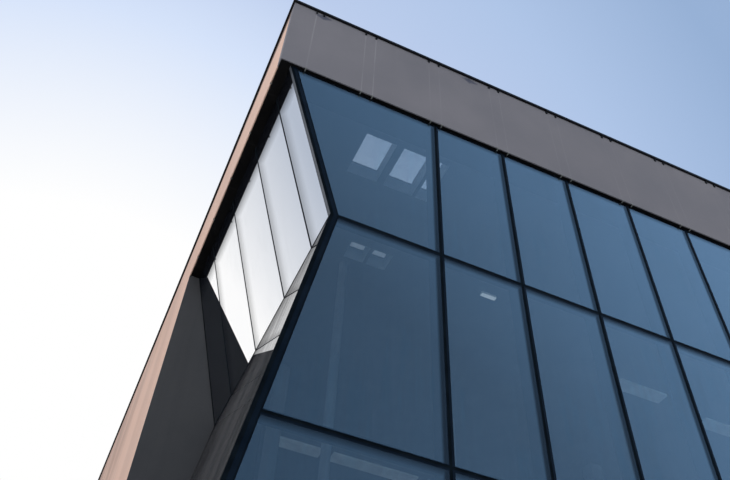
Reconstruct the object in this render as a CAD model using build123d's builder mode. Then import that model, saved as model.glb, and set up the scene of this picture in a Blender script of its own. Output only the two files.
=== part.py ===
"""Theatre building whose glass corners lean in to a waist and out again. Millimetres, +Z up.

The entrance front looks towards -Y. The origin is on the ground at the middle of the footprint.
Distances called x, y and z below are measured from the left face, the front face and the ground.
"""
import os

from build123d import *

os.makedirs("parts", exist_ok=True)

# Plan
MODULE = 1500                 # spacing of the front mullions
MODULE_COUNT = 14             # modules between the two outer grid lines
GRID_INSET = 253              # side face to the outer grid line
DEPTH = 22500                 # front face to back face
SIDE_OPENING = 6175           # front face to the end wall of the side glazing
FRONT_RECESS = 60             # front face to the front glass
BACK_RECESS = 100             # back face to the back glass
BACK_MODULE_COUNT = 8         # modules in the back window

# Heights
FLOOR_LEVEL = 100
GROUND_ROW = 3156             # ground to the middle of the lowest transom
ROW = 3896                    # one row of glass to the next
TOP_ROW = 3822                # waist to the underside of the concrete band
BEAM_HEIGHT = 530             # underside of the band to the ceiling
ROOF_THICKNESS = 300
PARAPET = 1665                # roof to the top of the coping
COPING_HEIGHT = 60
UPPER_FLOOR_THICKNESS = 250
DOOR_HEAD = 2500              # ground to the underside of the door head

# Leaning corner glass
WAIST_INSET = 1340            # side face to the glass at the waist
HEAD_INSET = 222              # side face to the glass under the soffit
SIDE_JOINTS = (0.130, 0.336, 0.581, 0.818)   # shares of the side opening where its panes meet

# Thicknesses of walls and cladding
BAND_THICKNESS = 200
WALL_THICKNESS = 350
BEAM_WIDTH = 460
SOFFIT_PANEL = 30
SOFFIT_INSET = 20             # soffit edge behind the concrete face
COPING_OVERHANG = 45
REVEAL_PANEL = 50
REVEAL_WALL = 250             # wall behind the panel, beyond the side wall
PLINTH_INSET = 50             # front face to the edge of the ground slab

# Glazing bars and glass
GLASS = 28
BAR = 120                     # face width of a mullion or transom
MULLION_DEPTH = 300
TRANSOM_DEPTH = 150
SIDE_BAR = 50                 # face width of a bar behind a side joint
SIDE_BAR_DEPTH = 92
STACK_JOINT = 10              # gap where two lengths of frame meet
POST_WIDTH = 120
POST_DEPTH = 75
BACK_BAR_DEPTH = 150

# Entrance doors
LEAF_THICKNESS = 50
STILE = 90
BOTTOM_RAIL = 200
LEAF_GAP = 6                  # between two leaves, and under and over them
LEAF_GLASS = 24

# Rooflights at each front corner: a large pair, a narrow one beside it, and a small pair behind
ROOFLIGHT_ROWS = ((2250, 1155, 690, 1060), (3880, 1155, 290, 1060),   # near corner x, y, width, depth
                  (3150, 4005, 480, 500))
ROOFLIGHT_GAPS = (170, 0, 90)                 # between neighbours in each row
ROOFLIGHT_COUNTS = (2, 1, 2)
KERB = 80
KERB_HEIGHT = 100
ROOFLIGHT_GLASS = 30

# Columns
SLIM_COLUMN = 200             # diameter of the two tall posts behind the front
SLIM_COLUMN_Y = 4745
COLUMN = 400                  # side of the square columns under the upper floors
COLUMN_COUNT = 4
UPPER_FLOOR_Y = 8750          # front edge of the upper floors
COLUMN_SETBACK = 300          # front edge of the upper floors to the middle of the columns

# Ceiling lights in rows; a row is left end x, near edge y, length, width
LIGHT_ROWS = ((6625, 4060, 400, 110), (11525, 5240, 1500, 380), (14625, 5570, 1500, 380),
              (4175, 11950, 1500, 450), (6025, 11950, 2850, 450))
LIGHT_PITCHES = (0, 0, 0, 0, 3200)
LIGHT_COUNTS = (1, 1, 1, 1, 4)
LIGHT_HEIGHT = 60

# Derived sizes
WIDTH = MODULE_COUNT * MODULE + 2 * GRID_INSET
LEFT = -WIDTH / 2
FRONT = -DEPTH / 2
TRANSOMS = [GROUND_ROW + row * ROW for row in range(3)]
FOOT, MIDDLE, WAIST = TRANSOMS
BAND_BOTTOM = WAIST + TOP_ROW
GLASS_HEAD = BAND_BOTTOM - SOFFIT_PANEL
CEILING = BAND_BOTTOM + BEAM_HEIGHT
ROOF_TOP = CEILING + ROOF_THICKNESS
BAND_TOP = ROOF_TOP + PARAPET - COPING_HEIGHT
SIDE_GLASS_Y = FRONT_RECESS + POST_DEPTH
SIDE_WALL_Y = SIDE_OPENING + REVEAL_PANEL
BEAM_Y = BAND_THICKNESS + BEAM_WIDTH
SIDE_FRAME_INSET = GLASS + SIDE_BAR_DEPTH
BACK_WALL_Y = DEPTH - WALL_THICKNESS
BACK_GLASS_Y = DEPTH - BACK_RECESS - GLASS
BACK_HALF = BACK_MODULE_COUNT * MODULE / 2
MULLION_COUNT = MODULE_COUNT - 3   # the two corner bays are two modules wide


def across(y):
    """Upright plane parallel to the front, at the distance y from the front face."""
    return Plane.XZ.offset(-(FRONT + y))


def plan(x0, x1, y0, y1, mode=Mode.ADD):
    """Rectangle on a level sketch."""
    with Locations((LEFT + (x0 + x1) / 2, FRONT + (y0 + y1) / 2)):
        Rectangle(x1 - x0, y1 - y0, mode=mode)


def upright(half_width, z0, z1, mode=Mode.ADD):
    """Rectangle on an upright sketch, centred on the building."""
    with Locations((0, (z0 + z1) / 2)):
        Rectangle(2 * half_width, z1 - z0, mode=mode)


def lean(inset):
    """Line up the left corner glass, moved in from its outer face, from the floor to the soffit."""
    insets = (0, 0, WAIST_INSET, HEAD_INSET)
    levels = (FLOOR_LEVEL, FOOT, WAIST, GLASS_HEAD)
    return [(LEFT + inset + own, z) for own, z in zip(insets, levels)]


def side_band(outer, inner, first, last):
    """Strip between two lines up the left corner glass, from one bend to another."""
    bends = slice(first, last + 1)
    Polygon(*lean(outer)[bends], *reversed(lean(inner)[bends]), align=None)


def front_opening(inset, mode=Mode.ADD):
    """Hourglass outline of the front glazing."""
    edge = lean(inset)
    Polygon(*edge, *[(-x, z) for x, z in reversed(edge)], align=None, mode=mode)


# Floors and roof
with BuildPart() as ground_slab:
    with BuildSketch():
        plan(0, WIDTH, PLINTH_INSET, SIDE_OPENING)
        plan(WALL_THICKNESS, WIDTH - WALL_THICKNESS, SIDE_OPENING, BACK_WALL_Y)
        plan(WIDTH / 2 - BACK_HALF, WIDTH / 2 + BACK_HALF, BACK_WALL_Y, DEPTH - BACK_RECESS)
        for x in (0, WIDTH - WALL_THICKNESS):
            plan(x, x + WALL_THICKNESS, SIDE_OPENING, SIDE_WALL_Y, mode=Mode.SUBTRACT)
    extrude(amount=FLOOR_LEVEL)

with BuildPart() as upper_floors:
    for level in TRANSOMS:
        with BuildSketch(Plane.XY.offset(level + BAR / 2 - UPPER_FLOOR_THICKNESS)):
            plan(WALL_THICKNESS, WIDTH - WALL_THICKNESS, UPPER_FLOOR_Y, BACK_WALL_Y)
        extrude(amount=UPPER_FLOOR_THICKNESS)

rooflight_places = []
for (x, y, width, length), gap, count in zip(ROOFLIGHT_ROWS, ROOFLIGHT_GAPS, ROOFLIGHT_COUNTS):
    for place in range(count):
        near = x + place * (width + gap)
        rooflight_places.append((near, near + width, y, y + length))
        rooflight_places.append((WIDTH - near - width, WIDTH - near, y, y + length))

with BuildPart() as roof_slab:
    with BuildSketch(Plane.XY.offset(CEILING)):
        plan(BAND_THICKNESS, WIDTH - BAND_THICKNESS, BAND_THICKNESS, SIDE_WALL_Y)
        plan(WALL_THICKNESS, WIDTH - WALL_THICKNESS, SIDE_WALL_Y, BACK_WALL_Y)
    extrude(amount=ROOF_THICKNESS)
    with BuildSketch(Plane.XY.offset(ROOF_TOP)):
        for x0, x1, y0, y1 in rooflight_places:
            plan(x0 - KERB, x1 + KERB, y0 - KERB, y1 + KERB)
    extrude(amount=KERB_HEIGHT)
    with BuildSketch(Plane.XY.offset(CEILING)):
        for x0, x1, y0, y1 in rooflight_places:
            plan(x0, x1, y0, y1)
    extrude(amount=ROOF_THICKNESS + KERB_HEIGHT, mode=Mode.SUBTRACT)

with BuildPart() as rooflights:
    with BuildSketch(Plane.XY.offset(ROOF_TOP + KERB_HEIGHT)):
        for x0, x1, y0, y1 in rooflight_places:
            plan(x0 - KERB / 2, x1 + KERB / 2, y0 - KERB / 2, y1 + KERB / 2)
    extrude(amount=ROOFLIGHT_GLASS)

with BuildPart() as ceiling_lights:
    with BuildSketch(Plane.XY.offset(CEILING)):
        for (x, y, length, width), pitch, count in zip(LIGHT_ROWS, LIGHT_PITCHES, LIGHT_COUNTS):
            for place in range(count):
                start = x + place * pitch
                plan(start, start + length, y, y + width)
    extrude(amount=-LIGHT_HEIGHT)

# Concrete walls
with BuildPart() as left_wall:
    with BuildSketch():
        plan(0, WALL_THICKNESS, SIDE_WALL_Y, DEPTH)
    extrude(amount=BAND_TOP)

with BuildPart() as right_wall:
    mirror(left_wall.part, about=Plane.YZ)

with BuildPart() as back_wall_left:
    with BuildSketch():
        plan(WALL_THICKNESS, WIDTH / 2 - BACK_HALF, BACK_WALL_Y, DEPTH)
    extrude(amount=BAND_BOTTOM)

with BuildPart() as back_wall_right:
    mirror(back_wall_left.part, about=Plane.YZ)

with BuildPart() as back_fascia:
    with BuildSketch(Plane.XY.offset(BAND_BOTTOM)):
        plan(WALL_THICKNESS, WIDTH - WALL_THICKNESS, BACK_WALL_Y, DEPTH)
    extrude(amount=BAND_TOP - BAND_BOTTOM)

# Concrete band, its beams and its soffit
with BuildPart() as front_fascia:
    with BuildSketch(Plane.XY.offset(BAND_BOTTOM)):
        plan(0, WIDTH, 0, BAND_THICKNESS)
    extrude(amount=BAND_TOP - BAND_BOTTOM)

with BuildPart() as left_fascia:
    with BuildSketch(Plane.XY.offset(BAND_BOTTOM)):
        plan(0, BAND_THICKNESS, BAND_THICKNESS, SIDE_WALL_Y)
    extrude(amount=BAND_TOP - BAND_BOTTOM)

with BuildPart() as right_fascia:
    mirror(left_fascia.part, about=Plane.YZ)

with BuildPart() as front_beam:
    with BuildSketch(Plane.XY.offset(BAND_BOTTOM)):
        plan(BAND_THICKNESS, WIDTH - BAND_THICKNESS, BAND_THICKNESS, BEAM_Y)
    extrude(amount=CEILING - BAND_BOTTOM)

with BuildPart() as left_beam:
    with BuildSketch(Plane.XY.offset(BAND_BOTTOM)):
        plan(BAND_THICKNESS, BEAM_Y, BEAM_Y, SIDE_WALL_Y)
    extrude(amount=CEILING - BAND_BOTTOM)

with BuildPart() as right_beam:
    mirror(left_beam.part, about=Plane.YZ)

with BuildPart() as front_soffit:
    with BuildSketch(Plane.XY.offset(GLASS_HEAD)):
        plan(SOFFIT_INSET, WIDTH - SOFFIT_INSET, SOFFIT_INSET, BEAM_Y)
    extrude(amount=SOFFIT_PANEL)

with BuildPart() as left_soffit:
    with BuildSketch(Plane.XY.offset(GLASS_HEAD)):
        plan(SOFFIT_INSET, BEAM_Y, BEAM_Y, SIDE_WALL_Y)
    extrude(amount=SOFFIT_PANEL)

with BuildPart() as right_soffit:
    mirror(left_soffit.part, about=Plane.YZ)

# End walls of the side glazing
with BuildPart() as left_reveal:
    with BuildSketch(across(SIDE_OPENING)):
        frame_line = lean(SIDE_FRAME_INSET)
        Polygon((LEFT, 0), (frame_line[0][0], 0), *frame_line, (LEFT, GLASS_HEAD), align=None)
        with Locations((LEFT + WALL_THICKNESS / 2, GLASS_HEAD / 2)):
            Rectangle(WALL_THICKNESS, GLASS_HEAD)
    extrude(amount=-REVEAL_PANEL)
    with BuildSketch(across(SIDE_WALL_Y)):
        Polygon((LEFT, 0), (frame_line[0][0], 0), *frame_line, (LEFT, GLASS_HEAD), align=None)
        with Locations((LEFT + WALL_THICKNESS / 2, GLASS_HEAD / 2)):
            Rectangle(WALL_THICKNESS, GLASS_HEAD, mode=Mode.SUBTRACT)
    extrude(amount=-REVEAL_WALL)

with BuildPart() as right_reveal:
    mirror(left_reveal.part, about=Plane.YZ)

# Front glazing
with BuildPart() as front_frame:
    joint_level = WAIST + BAR / 2
    for low, high in ((FLOOR_LEVEL, joint_level), (joint_level + STACK_JOINT, GLASS_HEAD)):
        with BuildSketch(across(FRONT_RECESS + GLASS)):
            with Locations((0, (low + high) / 2)):
                with GridLocations(MODULE, 1, MULLION_COUNT, 1):
                    Rectangle(BAR, high - low)
        extrude(amount=-MULLION_DEPTH)
    with BuildSketch(across(FRONT_RECESS + GLASS)):
        for level in TRANSOMS:
            upright(WIDTH / 2, level - BAR / 2, level + BAR / 2)
        upright(WIDTH / 2, GLASS_HEAD - BAR / 2, GLASS_HEAD)
        upright(WIDTH / 2, FLOOR_LEVEL, FLOOR_LEVEL + BAR / 2)
        upright(MODULE, FLOOR_LEVEL, FLOOR_LEVEL + BAR / 2, mode=Mode.SUBTRACT)
        upright(MODULE, DOOR_HEAD, DOOR_HEAD + BAR / 2)
        front_opening(max(POST_WIDTH, SIDE_FRAME_INSET), mode=Mode.INTERSECT)
    extrude(amount=-TRANSOM_DEPTH)

with BuildPart() as front_glass_ground:
    with BuildSketch(across(FRONT_RECESS)):
        front_opening(POST_WIDTH)
        upright(WIDTH / 2, FLOOR_LEVEL, FOOT, mode=Mode.INTERSECT)
        upright(MODULE - BAR / 2, FLOOR_LEVEL, DOOR_HEAD, mode=Mode.SUBTRACT)
    extrude(amount=-GLASS)

with BuildPart() as front_glass_lower:
    with BuildSketch(across(FRONT_RECESS)):
        front_opening(POST_WIDTH)
        upright(WIDTH / 2, FOOT, MIDDLE, mode=Mode.INTERSECT)
    extrude(amount=-GLASS)

with BuildPart() as front_glass_middle:
    with BuildSketch(across(FRONT_RECESS)):
        front_opening(POST_WIDTH)
        upright(WIDTH / 2, MIDDLE, WAIST, mode=Mode.INTERSECT)
    extrude(amount=-GLASS)

with BuildPart() as front_glass_upper:
    with BuildSketch(across(FRONT_RECESS)):
        front_opening(POST_WIDTH)
        upright(WIDTH / 2, WAIST, GLASS_HEAD, mode=Mode.INTERSECT)
    extrude(amount=-GLASS)

with BuildPart() as left_corner_post:
    with BuildSketch(across(FRONT_RECESS)):
        side_band(0, POST_WIDTH, 0, 3)
    extrude(amount=-POST_DEPTH)

with BuildPart() as right_corner_post:
    mirror(left_corner_post.part, about=Plane.YZ)

# Side glazing
with BuildPart() as left_glass_ground:
    with BuildSketch(across(SIDE_GLASS_Y)):
        side_band(0, GLASS, 0, 1)
    extrude(amount=SIDE_GLASS_Y - SIDE_OPENING)

with BuildPart() as left_glass_lower:
    with BuildSketch(across(SIDE_GLASS_Y)):
        side_band(0, GLASS, 1, 2)
    extrude(amount=SIDE_GLASS_Y - SIDE_OPENING)

with BuildPart() as left_glass_upper:
    with BuildSketch(across(SIDE_GLASS_Y)):
        side_band(0, GLASS, 2, 3)
    extrude(amount=SIDE_GLASS_Y - SIDE_OPENING)

with BuildPart() as right_glass_ground:
    mirror(left_glass_ground.part, about=Plane.YZ)

with BuildPart() as right_glass_lower:
    mirror(left_glass_lower.part, about=Plane.YZ)

with BuildPart() as right_glass_upper:
    mirror(left_glass_upper.part, about=Plane.YZ)

with BuildPart() as left_side_frame:
    bends = (FLOOR_LEVEL, FOOT, WAIST, GLASS_HEAD)
    joint_ys = [FRONT_RECESS + share * (SIDE_OPENING - FRONT_RECESS) for share in SIDE_JOINTS]
    for band in range(3):
        low = bends[band] + (STACK_JOINT / 2 if band > 0 else 0)
        high = bends[band + 1] - (STACK_JOINT / 2 if band < 2 else 0)
        for joint_y in joint_ys:
            with BuildSketch(across(joint_y - SIDE_BAR / 2)):
                side_band(GLASS, SIDE_FRAME_INSET, band, band + 1)
                upright(WIDTH / 2, low, high, mode=Mode.INTERSECT)
            extrude(amount=-SIDE_BAR)
        for rail in (low, high - SIDE_BAR):
            with BuildSketch(across(SIDE_GLASS_Y)):
                side_band(GLASS, SIDE_FRAME_INSET, band, band + 1)
                upright(WIDTH / 2, rail, rail + SIDE_BAR, mode=Mode.INTERSECT)
            extrude(amount=SIDE_GLASS_Y - SIDE_OPENING)

with BuildPart() as right_side_frame:
    mirror(left_side_frame.part, about=Plane.YZ)

# Back glazing
with BuildPart() as back_frame:
    with BuildSketch(across(BACK_GLASS_Y - BACK_BAR_DEPTH)):
        with Locations((0, (FLOOR_LEVEL + BAND_BOTTOM) / 2)):
            with GridLocations(MODULE, 1, BACK_MODULE_COUNT - 1, 1):
                Rectangle(BAR, BAND_BOTTOM - FLOOR_LEVEL)
        for level in TRANSOMS:
            upright(BACK_HALF, level - BAR / 2, level + BAR / 2)
        upright(BACK_HALF, BAND_BOTTOM - BAR / 2, BAND_BOTTOM)
        upright(BACK_HALF, FLOOR_LEVEL, FLOOR_LEVEL + BAR / 2)
        for side in (-1, 1):
            with Locations((side * (BACK_HALF - BAR / 4), (FLOOR_LEVEL + BAND_BOTTOM) / 2)):
                Rectangle(BAR / 2, BAND_BOTTOM - FLOOR_LEVEL)
    extrude(amount=-BACK_BAR_DEPTH)

with BuildPart() as back_glass:
    with BuildSketch(across(BACK_GLASS_Y)):
        for low, high in zip([FLOOR_LEVEL] + TRANSOMS, TRANSOMS + [BAND_BOTTOM]):
            upright(BACK_HALF, low + GLASS / 2, high - GLASS / 2)
    extrude(amount=-GLASS)

# Metal coping
with BuildPart() as front_coping:
    with BuildSketch(Plane.XY.offset(BAND_TOP)):
        plan(-COPING_OVERHANG, WIDTH + COPING_OVERHANG, -COPING_OVERHANG,
             BAND_THICKNESS + COPING_OVERHANG)
    extrude(amount=COPING_HEIGHT)

with BuildPart() as back_coping:
    with BuildSketch(Plane.XY.offset(BAND_TOP)):
        plan(-COPING_OVERHANG, WIDTH + COPING_OVERHANG, BACK_WALL_Y - COPING_OVERHANG,
             DEPTH + COPING_OVERHANG)
    extrude(amount=COPING_HEIGHT)

with BuildPart() as left_coping:
    with BuildSketch(Plane.XY.offset(BAND_TOP)):
        plan(-COPING_OVERHANG, WALL_THICKNESS + COPING_OVERHANG,
             BAND_THICKNESS + COPING_OVERHANG, BACK_WALL_Y - COPING_OVERHANG)
    extrude(amount=COPING_HEIGHT)

with BuildPart() as right_coping:
    mirror(left_coping.part, about=Plane.YZ)

# Columns
with BuildPart() as columns:
    with BuildSketch(Plane.XY.offset(FLOOR_LEVEL)):
        for x in (GRID_INSET + 2 * MODULE, WIDTH - GRID_INSET - 2 * MODULE):
            with Locations((LEFT + x, FRONT + SLIM_COLUMN_Y)):
                Circle(SLIM_COLUMN / 2)
    extrude(amount=CEILING - FLOOR_LEVEL)
    column_pitch = (WIDTH - 2 * GRID_INSET - 4 * MODULE) / (COLUMN_COUNT - 1)
    floor_tops = [FLOOR_LEVEL] + [level + BAR / 2 for level in TRANSOMS]
    undersides = [top - UPPER_FLOOR_THICKNESS for top in floor_tops[1:]] + [CEILING]
    for low, high in zip(floor_tops, undersides):
        with BuildSketch(Plane.XY.offset(low)):
            with Locations((0, FRONT + UPPER_FLOOR_Y + COLUMN_SETBACK)):
                with GridLocations(column_pitch, 1, COLUMN_COUNT, 1):
                    Rectangle(COLUMN, COLUMN)
        extrude(amount=high - low)

# Entrance doors
door_bay = MODULE - BAR
leaf_width = (door_bay - LEAF_GAP) / 2
leaf_height = DOOR_HEAD - FLOOR_LEVEL - LEAF_GAP
leaf_centres = []
for bay_centre in (-MODULE / 2, MODULE / 2):
    for side in (-1, 1):
        leaf_centres.append((bay_centre + side * (door_bay - leaf_width) / 2, FLOOR_LEVEL + leaf_height / 2))
pane_height = leaf_height - STILE - BOTTOM_RAIL
pane_shift = (BOTTOM_RAIL - STILE) / 2

with BuildPart() as entrance_doors:
    with BuildSketch(across(FRONT_RECESS + GLASS)):
        with Locations(*leaf_centres):
            Rectangle(leaf_width, leaf_height)
            with Locations((0, pane_shift)):
                Rectangle(leaf_width - 2 * STILE, pane_height, mode=Mode.SUBTRACT)
    extrude(amount=-LEAF_THICKNESS)

with BuildPart() as entrance_glass:
    with BuildSketch(across(FRONT_RECESS + GLASS + (LEAF_THICKNESS - LEAF_GLASS) / 2)):
        with Locations(*leaf_centres):
            with Locations((0, pane_shift)):
                Rectangle(leaf_width - 2 * STILE, pane_height)
    extrude(amount=-LEAF_GLASS)

pieces = {
    "ground_slab": ground_slab,
    "upper_floors": upper_floors,
    "roof_slab": roof_slab,
    "rooflights": rooflights,
    "ceiling_lights": ceiling_lights,
    "left_wall": left_wall,
    "right_wall": right_wall,
    "back_wall_left": back_wall_left,
    "back_wall_right": back_wall_right,
    "back_fascia": back_fascia,
    "front_fascia": front_fascia,
    "left_fascia": left_fascia,
    "right_fascia": right_fascia,
    "front_beam": front_beam,
    "left_beam": left_beam,
    "right_beam": right_beam,
    "front_soffit": front_soffit,
    "left_soffit": left_soffit,
    "right_soffit": right_soffit,
    "left_reveal": left_reveal,
    "right_reveal": right_reveal,
    "front_frame": front_frame,
    "front_glass_ground": front_glass_ground,
    "front_glass_lower": front_glass_lower,
    "front_glass_middle": front_glass_middle,
    "front_glass_upper": front_glass_upper,
    "left_corner_post": left_corner_post,
    "right_corner_post": right_corner_post,
    "left_glass_ground": left_glass_ground,
    "left_glass_lower": left_glass_lower,
    "left_glass_upper": left_glass_upper,
    "right_glass_ground": right_glass_ground,
    "right_glass_lower": right_glass_lower,
    "right_glass_upper": right_glass_upper,
    "left_side_frame": left_side_frame,
    "right_side_frame": right_side_frame,
    "back_frame": back_frame,
    "back_glass": back_glass,
    "front_coping": front_coping,
    "back_coping": back_coping,
    "left_coping": left_coping,
    "right_coping": right_coping,
    "columns": columns,
    "entrance_doors": entrance_doors,
    "entrance_glass": entrance_glass,
}

for name, piece in pieces.items():
    piece.part.label = name
    export_step(piece.part, f"parts/{name}.step")
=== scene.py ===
"""Finishes and fine pieces of the theatre building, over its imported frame. Metres, +Z up.

Distances called x, y and z below are measured from the left face, the front face and the ground.
The parts of a place inside a finish are coordinates of the frame.
"""

import math

import bmesh
import bpy
from mathutils import Matrix, Vector


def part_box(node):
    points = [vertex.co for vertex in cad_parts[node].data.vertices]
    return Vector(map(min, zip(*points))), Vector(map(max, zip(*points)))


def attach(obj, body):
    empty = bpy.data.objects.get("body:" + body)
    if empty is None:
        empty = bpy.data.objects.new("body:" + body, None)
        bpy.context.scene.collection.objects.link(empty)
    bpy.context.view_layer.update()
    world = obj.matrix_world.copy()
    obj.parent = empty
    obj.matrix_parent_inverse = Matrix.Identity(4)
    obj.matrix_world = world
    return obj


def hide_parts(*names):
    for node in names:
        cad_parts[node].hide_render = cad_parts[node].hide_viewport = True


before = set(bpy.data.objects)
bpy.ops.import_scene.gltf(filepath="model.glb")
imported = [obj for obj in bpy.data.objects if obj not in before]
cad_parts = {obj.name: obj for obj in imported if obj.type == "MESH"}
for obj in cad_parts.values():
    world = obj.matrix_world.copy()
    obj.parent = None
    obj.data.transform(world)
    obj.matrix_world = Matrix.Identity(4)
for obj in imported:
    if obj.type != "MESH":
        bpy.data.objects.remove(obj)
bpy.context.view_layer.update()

# Places taken from the frame
LEFT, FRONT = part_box("front_fascia")[0].x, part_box("front_fascia")[0].y
WIDTH = -2 * LEFT
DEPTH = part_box("left_wall")[1].y - FRONT
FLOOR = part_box("front_glass_ground")[0].z
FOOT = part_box("front_glass_lower")[0].z
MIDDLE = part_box("front_glass_middle")[0].z
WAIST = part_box("front_glass_upper")[0].z
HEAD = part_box("front_glass_upper")[1].z
GLASS_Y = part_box("front_glass_upper")[0].y - FRONT
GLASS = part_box("front_glass_upper")[1].y - FRONT - GLASS_Y
SIDE_GLASS_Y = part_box("left_glass_upper")[0].y - FRONT
SIDE_END_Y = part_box("left_glass_upper")[1].y - FRONT
BAND_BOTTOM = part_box("front_fascia")[0].z
BAND_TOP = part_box("front_fascia")[1].z
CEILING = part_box("roof_slab")[0].z
KERB_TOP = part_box("rooflights")[0].z
ROOFLIGHT_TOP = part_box("rooflights")[1].z
BACK_FACE_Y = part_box("back_glass")[1].y - FRONT
BACK_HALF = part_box("back_glass")[1].x
BACK_LOW, BACK_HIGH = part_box("back_glass")[0].z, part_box("back_glass")[1].z
LEAF_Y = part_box("entrance_doors")[0].y - FRONT
DOOR_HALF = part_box("entrance_doors")[1].x
LEAF_GAP = 0.006  # between a door leaf and what is over it
DOOR_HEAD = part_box("entrance_doors")[1].z + LEAF_GAP

# Glazing
MODULE = 1.5
BAYS = 10  # whole modules between the first and the last front mullion
FIRST_MULLION = 3.253
BACK_BAYS = 8
WAIST_INSET = 1.34
HEAD_INSET = 0.222
POST = 0.12  # face width of the leaning corner posts
CORNER_SEAL = 0.052  # black part of a post's face; printed glass covers the rest
POST_SKIN = 0.003  # thickness of that glass, and of the trim on the post's side
TRIM_GAPS = (0.004, 0.002)  # from the trim to the front glass and to the side glass
JOINT = 0.038  # black joint between two front panes
JOINT_SINK = 0.003  # joint face behind the glass face
EDGE_JOINT = 0.012  # joint at a post or a soffit
SIDE_JOINTS = (0.130, 0.336, 0.581, 0.818)  # shares of the side opening where its panes meet
SIDE_JOINT = 0.048
SIDE_SINK = 0.001
LEVEL_SEAL = 0.016  # half of a level joint of the side glazing
SOFFIT_SEAL = 0.010  # the same under the soffit
END_JOINT = 0.045  # seal where the side glazing meets its end wall

# Print on the glass, painted shade under its levels and beside its joints, and grime
SIDE_PRINT = (0.010, 0.038)  # printed edges on the left and on the right of an upright joint
LEVEL_PRINT = {"ground": (0.012, 0.035), "lower": (0.012, 0.035), "middle": (0.012, 0.035),
               "upper": (0.018, 0.010)}  # printed edges of a row: at its foot, and at its head
FRONT_SHADE_WIDTH, FRONT_SHADE_SHARE = 0.11, 0.68  # painted shade that fades away on the left of a front joint
LEVEL_SHADE_REACH = 0.11  # painted shade that fades downwards under the level joints
HEAD_SHADE_REACH = 0.20  # the same from the head of the upper row
SIDE_HEAD_SHADE = 0.30  # painted shade at the head of the side glazing, solid and then fading under it
SIDE_HEAD_SHADE_REACH = 0.45
SHADE_WIDTH, SHADE_SHARE = 0.35, 0.38  # faint painted shade beside an upright joint of the side glazing
GRIME_REACH = 2.2  # how far grime thickens under the waist on panes that lean up

# Concrete band and what is fixed to it
GRID_INSET = 0.253  # side face to the first grid line; boards meet on the grid lines
INNER_GRID_LINES = 13  # grid lines of the front between the two outer ones
BOARD_GAP = 0.24  # between the two lines of a joint
LINE_WIDTH = 0.014
END_LINE = 0.5  # side face to the single line at the end of the band
LINES_FADE = (1.7, 3.6)  # distances from the end between which the lines grow fainter
WEAR_START = 1.5  # front face to where the side band begins to darken
COPING_SHADOW_RANGE = (1.0, 5.0)  # where the painted shadow under the side coping changes from one of these depths to the other
COPING_SHADOW_DEPTHS = (0.42, 0.15)  # of these depths to the other
COPING_STAINS = ((0.65, 0.24), (4.14, 0.24))  # middle x and half width of dark stains on the front
STAIN_HALF_HEIGHT = 0.12
SOFFIT_START, SOFFIT_BOARD = 0.8, 1.25
TAB = (0.035, 0.024, 0.09)  # width, depth and height of a small tab on the coping
END_TAB_STEP = 0.16  # between the two tabs at each end
SIDE_CLIP_START = 0.57  # front face to the first clip under the side band
SIDE_CLIP_STEP = 1.24
SIDE_CLIP_COUNT = 5
# Small angles under the band: middle and size of the foot, then of the part that is turned up
FRONT_CLIP = (((0, 0.026, -0.033), (0.022, 0.056, 0.006)), ((0, -0.002, -0.006), (0.022, 0.004, 0.06)))
SIDE_CLIP = (((0.014, 0, -0.033), (0.036, 0.03, 0.006)), ((-0.002, 0, -0.016), (0.004, 0.03, 0.040)))

# Doors
HANDLE_ENDS = (0.95, 1.65)  # heights of the two ends of a pull bar
HANDLE_STUDS = (1.05, 1.55)
HANDLE_REACH = 0.055  # leaf to the axis of the bar
HANDLE_ASIDE = 0.05  # edge of the leaf to the bar
HANDLE_RADIUS, STUD_RADIUS = 0.014, 0.008
SILL_LIP, SILL_GAP, SILL_HEIGHT = 0.006, 0.004, 0.012
STEEL_EDGE = 0.002  # width of the eased edges of handles and sill

# Rooflights, as in the frame: near corner x, y, width and depth, then gap to the next and count
ROOFLIGHTS = ((2.25, 1.155, 0.69, 1.06, 0.17, 2), (3.88, 1.155, 0.29, 1.06, 0.0, 1),
              (3.15, 4.005, 0.48, 0.50, 0.09, 2))
RIM = 0.072  # how far the metal frame reaches out over the kerb
RIM_LAP, RIM_HEIGHT = 0.010, 0.008
LINING = 0.006  # thickness of the white lining of the shafts
DARKER_FROM = 3.005  # rooflights further back than this are drawn darker
LIT_Y = 4.5  # the ceiling light nearer to the front face than this is lit

SIDES = ((1, "left"), (-1, "right"))


def inset(z):
    """How far the corner glass stands in from the side face at the height z."""
    if z <= FOOT:
        return 0.0
    if z <= WAIST:
        return WAIST_INSET * (z - FOOT) / (WAIST - FOOT)
    return WAIST_INSET + (HEAD_INSET - WAIST_INSET) * (z - WAIST) / (HEAD - WAIST)


def spot(x, y, z):
    """Point in the frame from its distances x, y and z."""
    return Vector((LEFT + x, FRONT + y, z))


def from_side(x, side):
    """The distance x, counted from the left face (1) or from the right face (-1)."""
    return x if side == 1 else WIDTH - x


# Shapes

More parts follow.
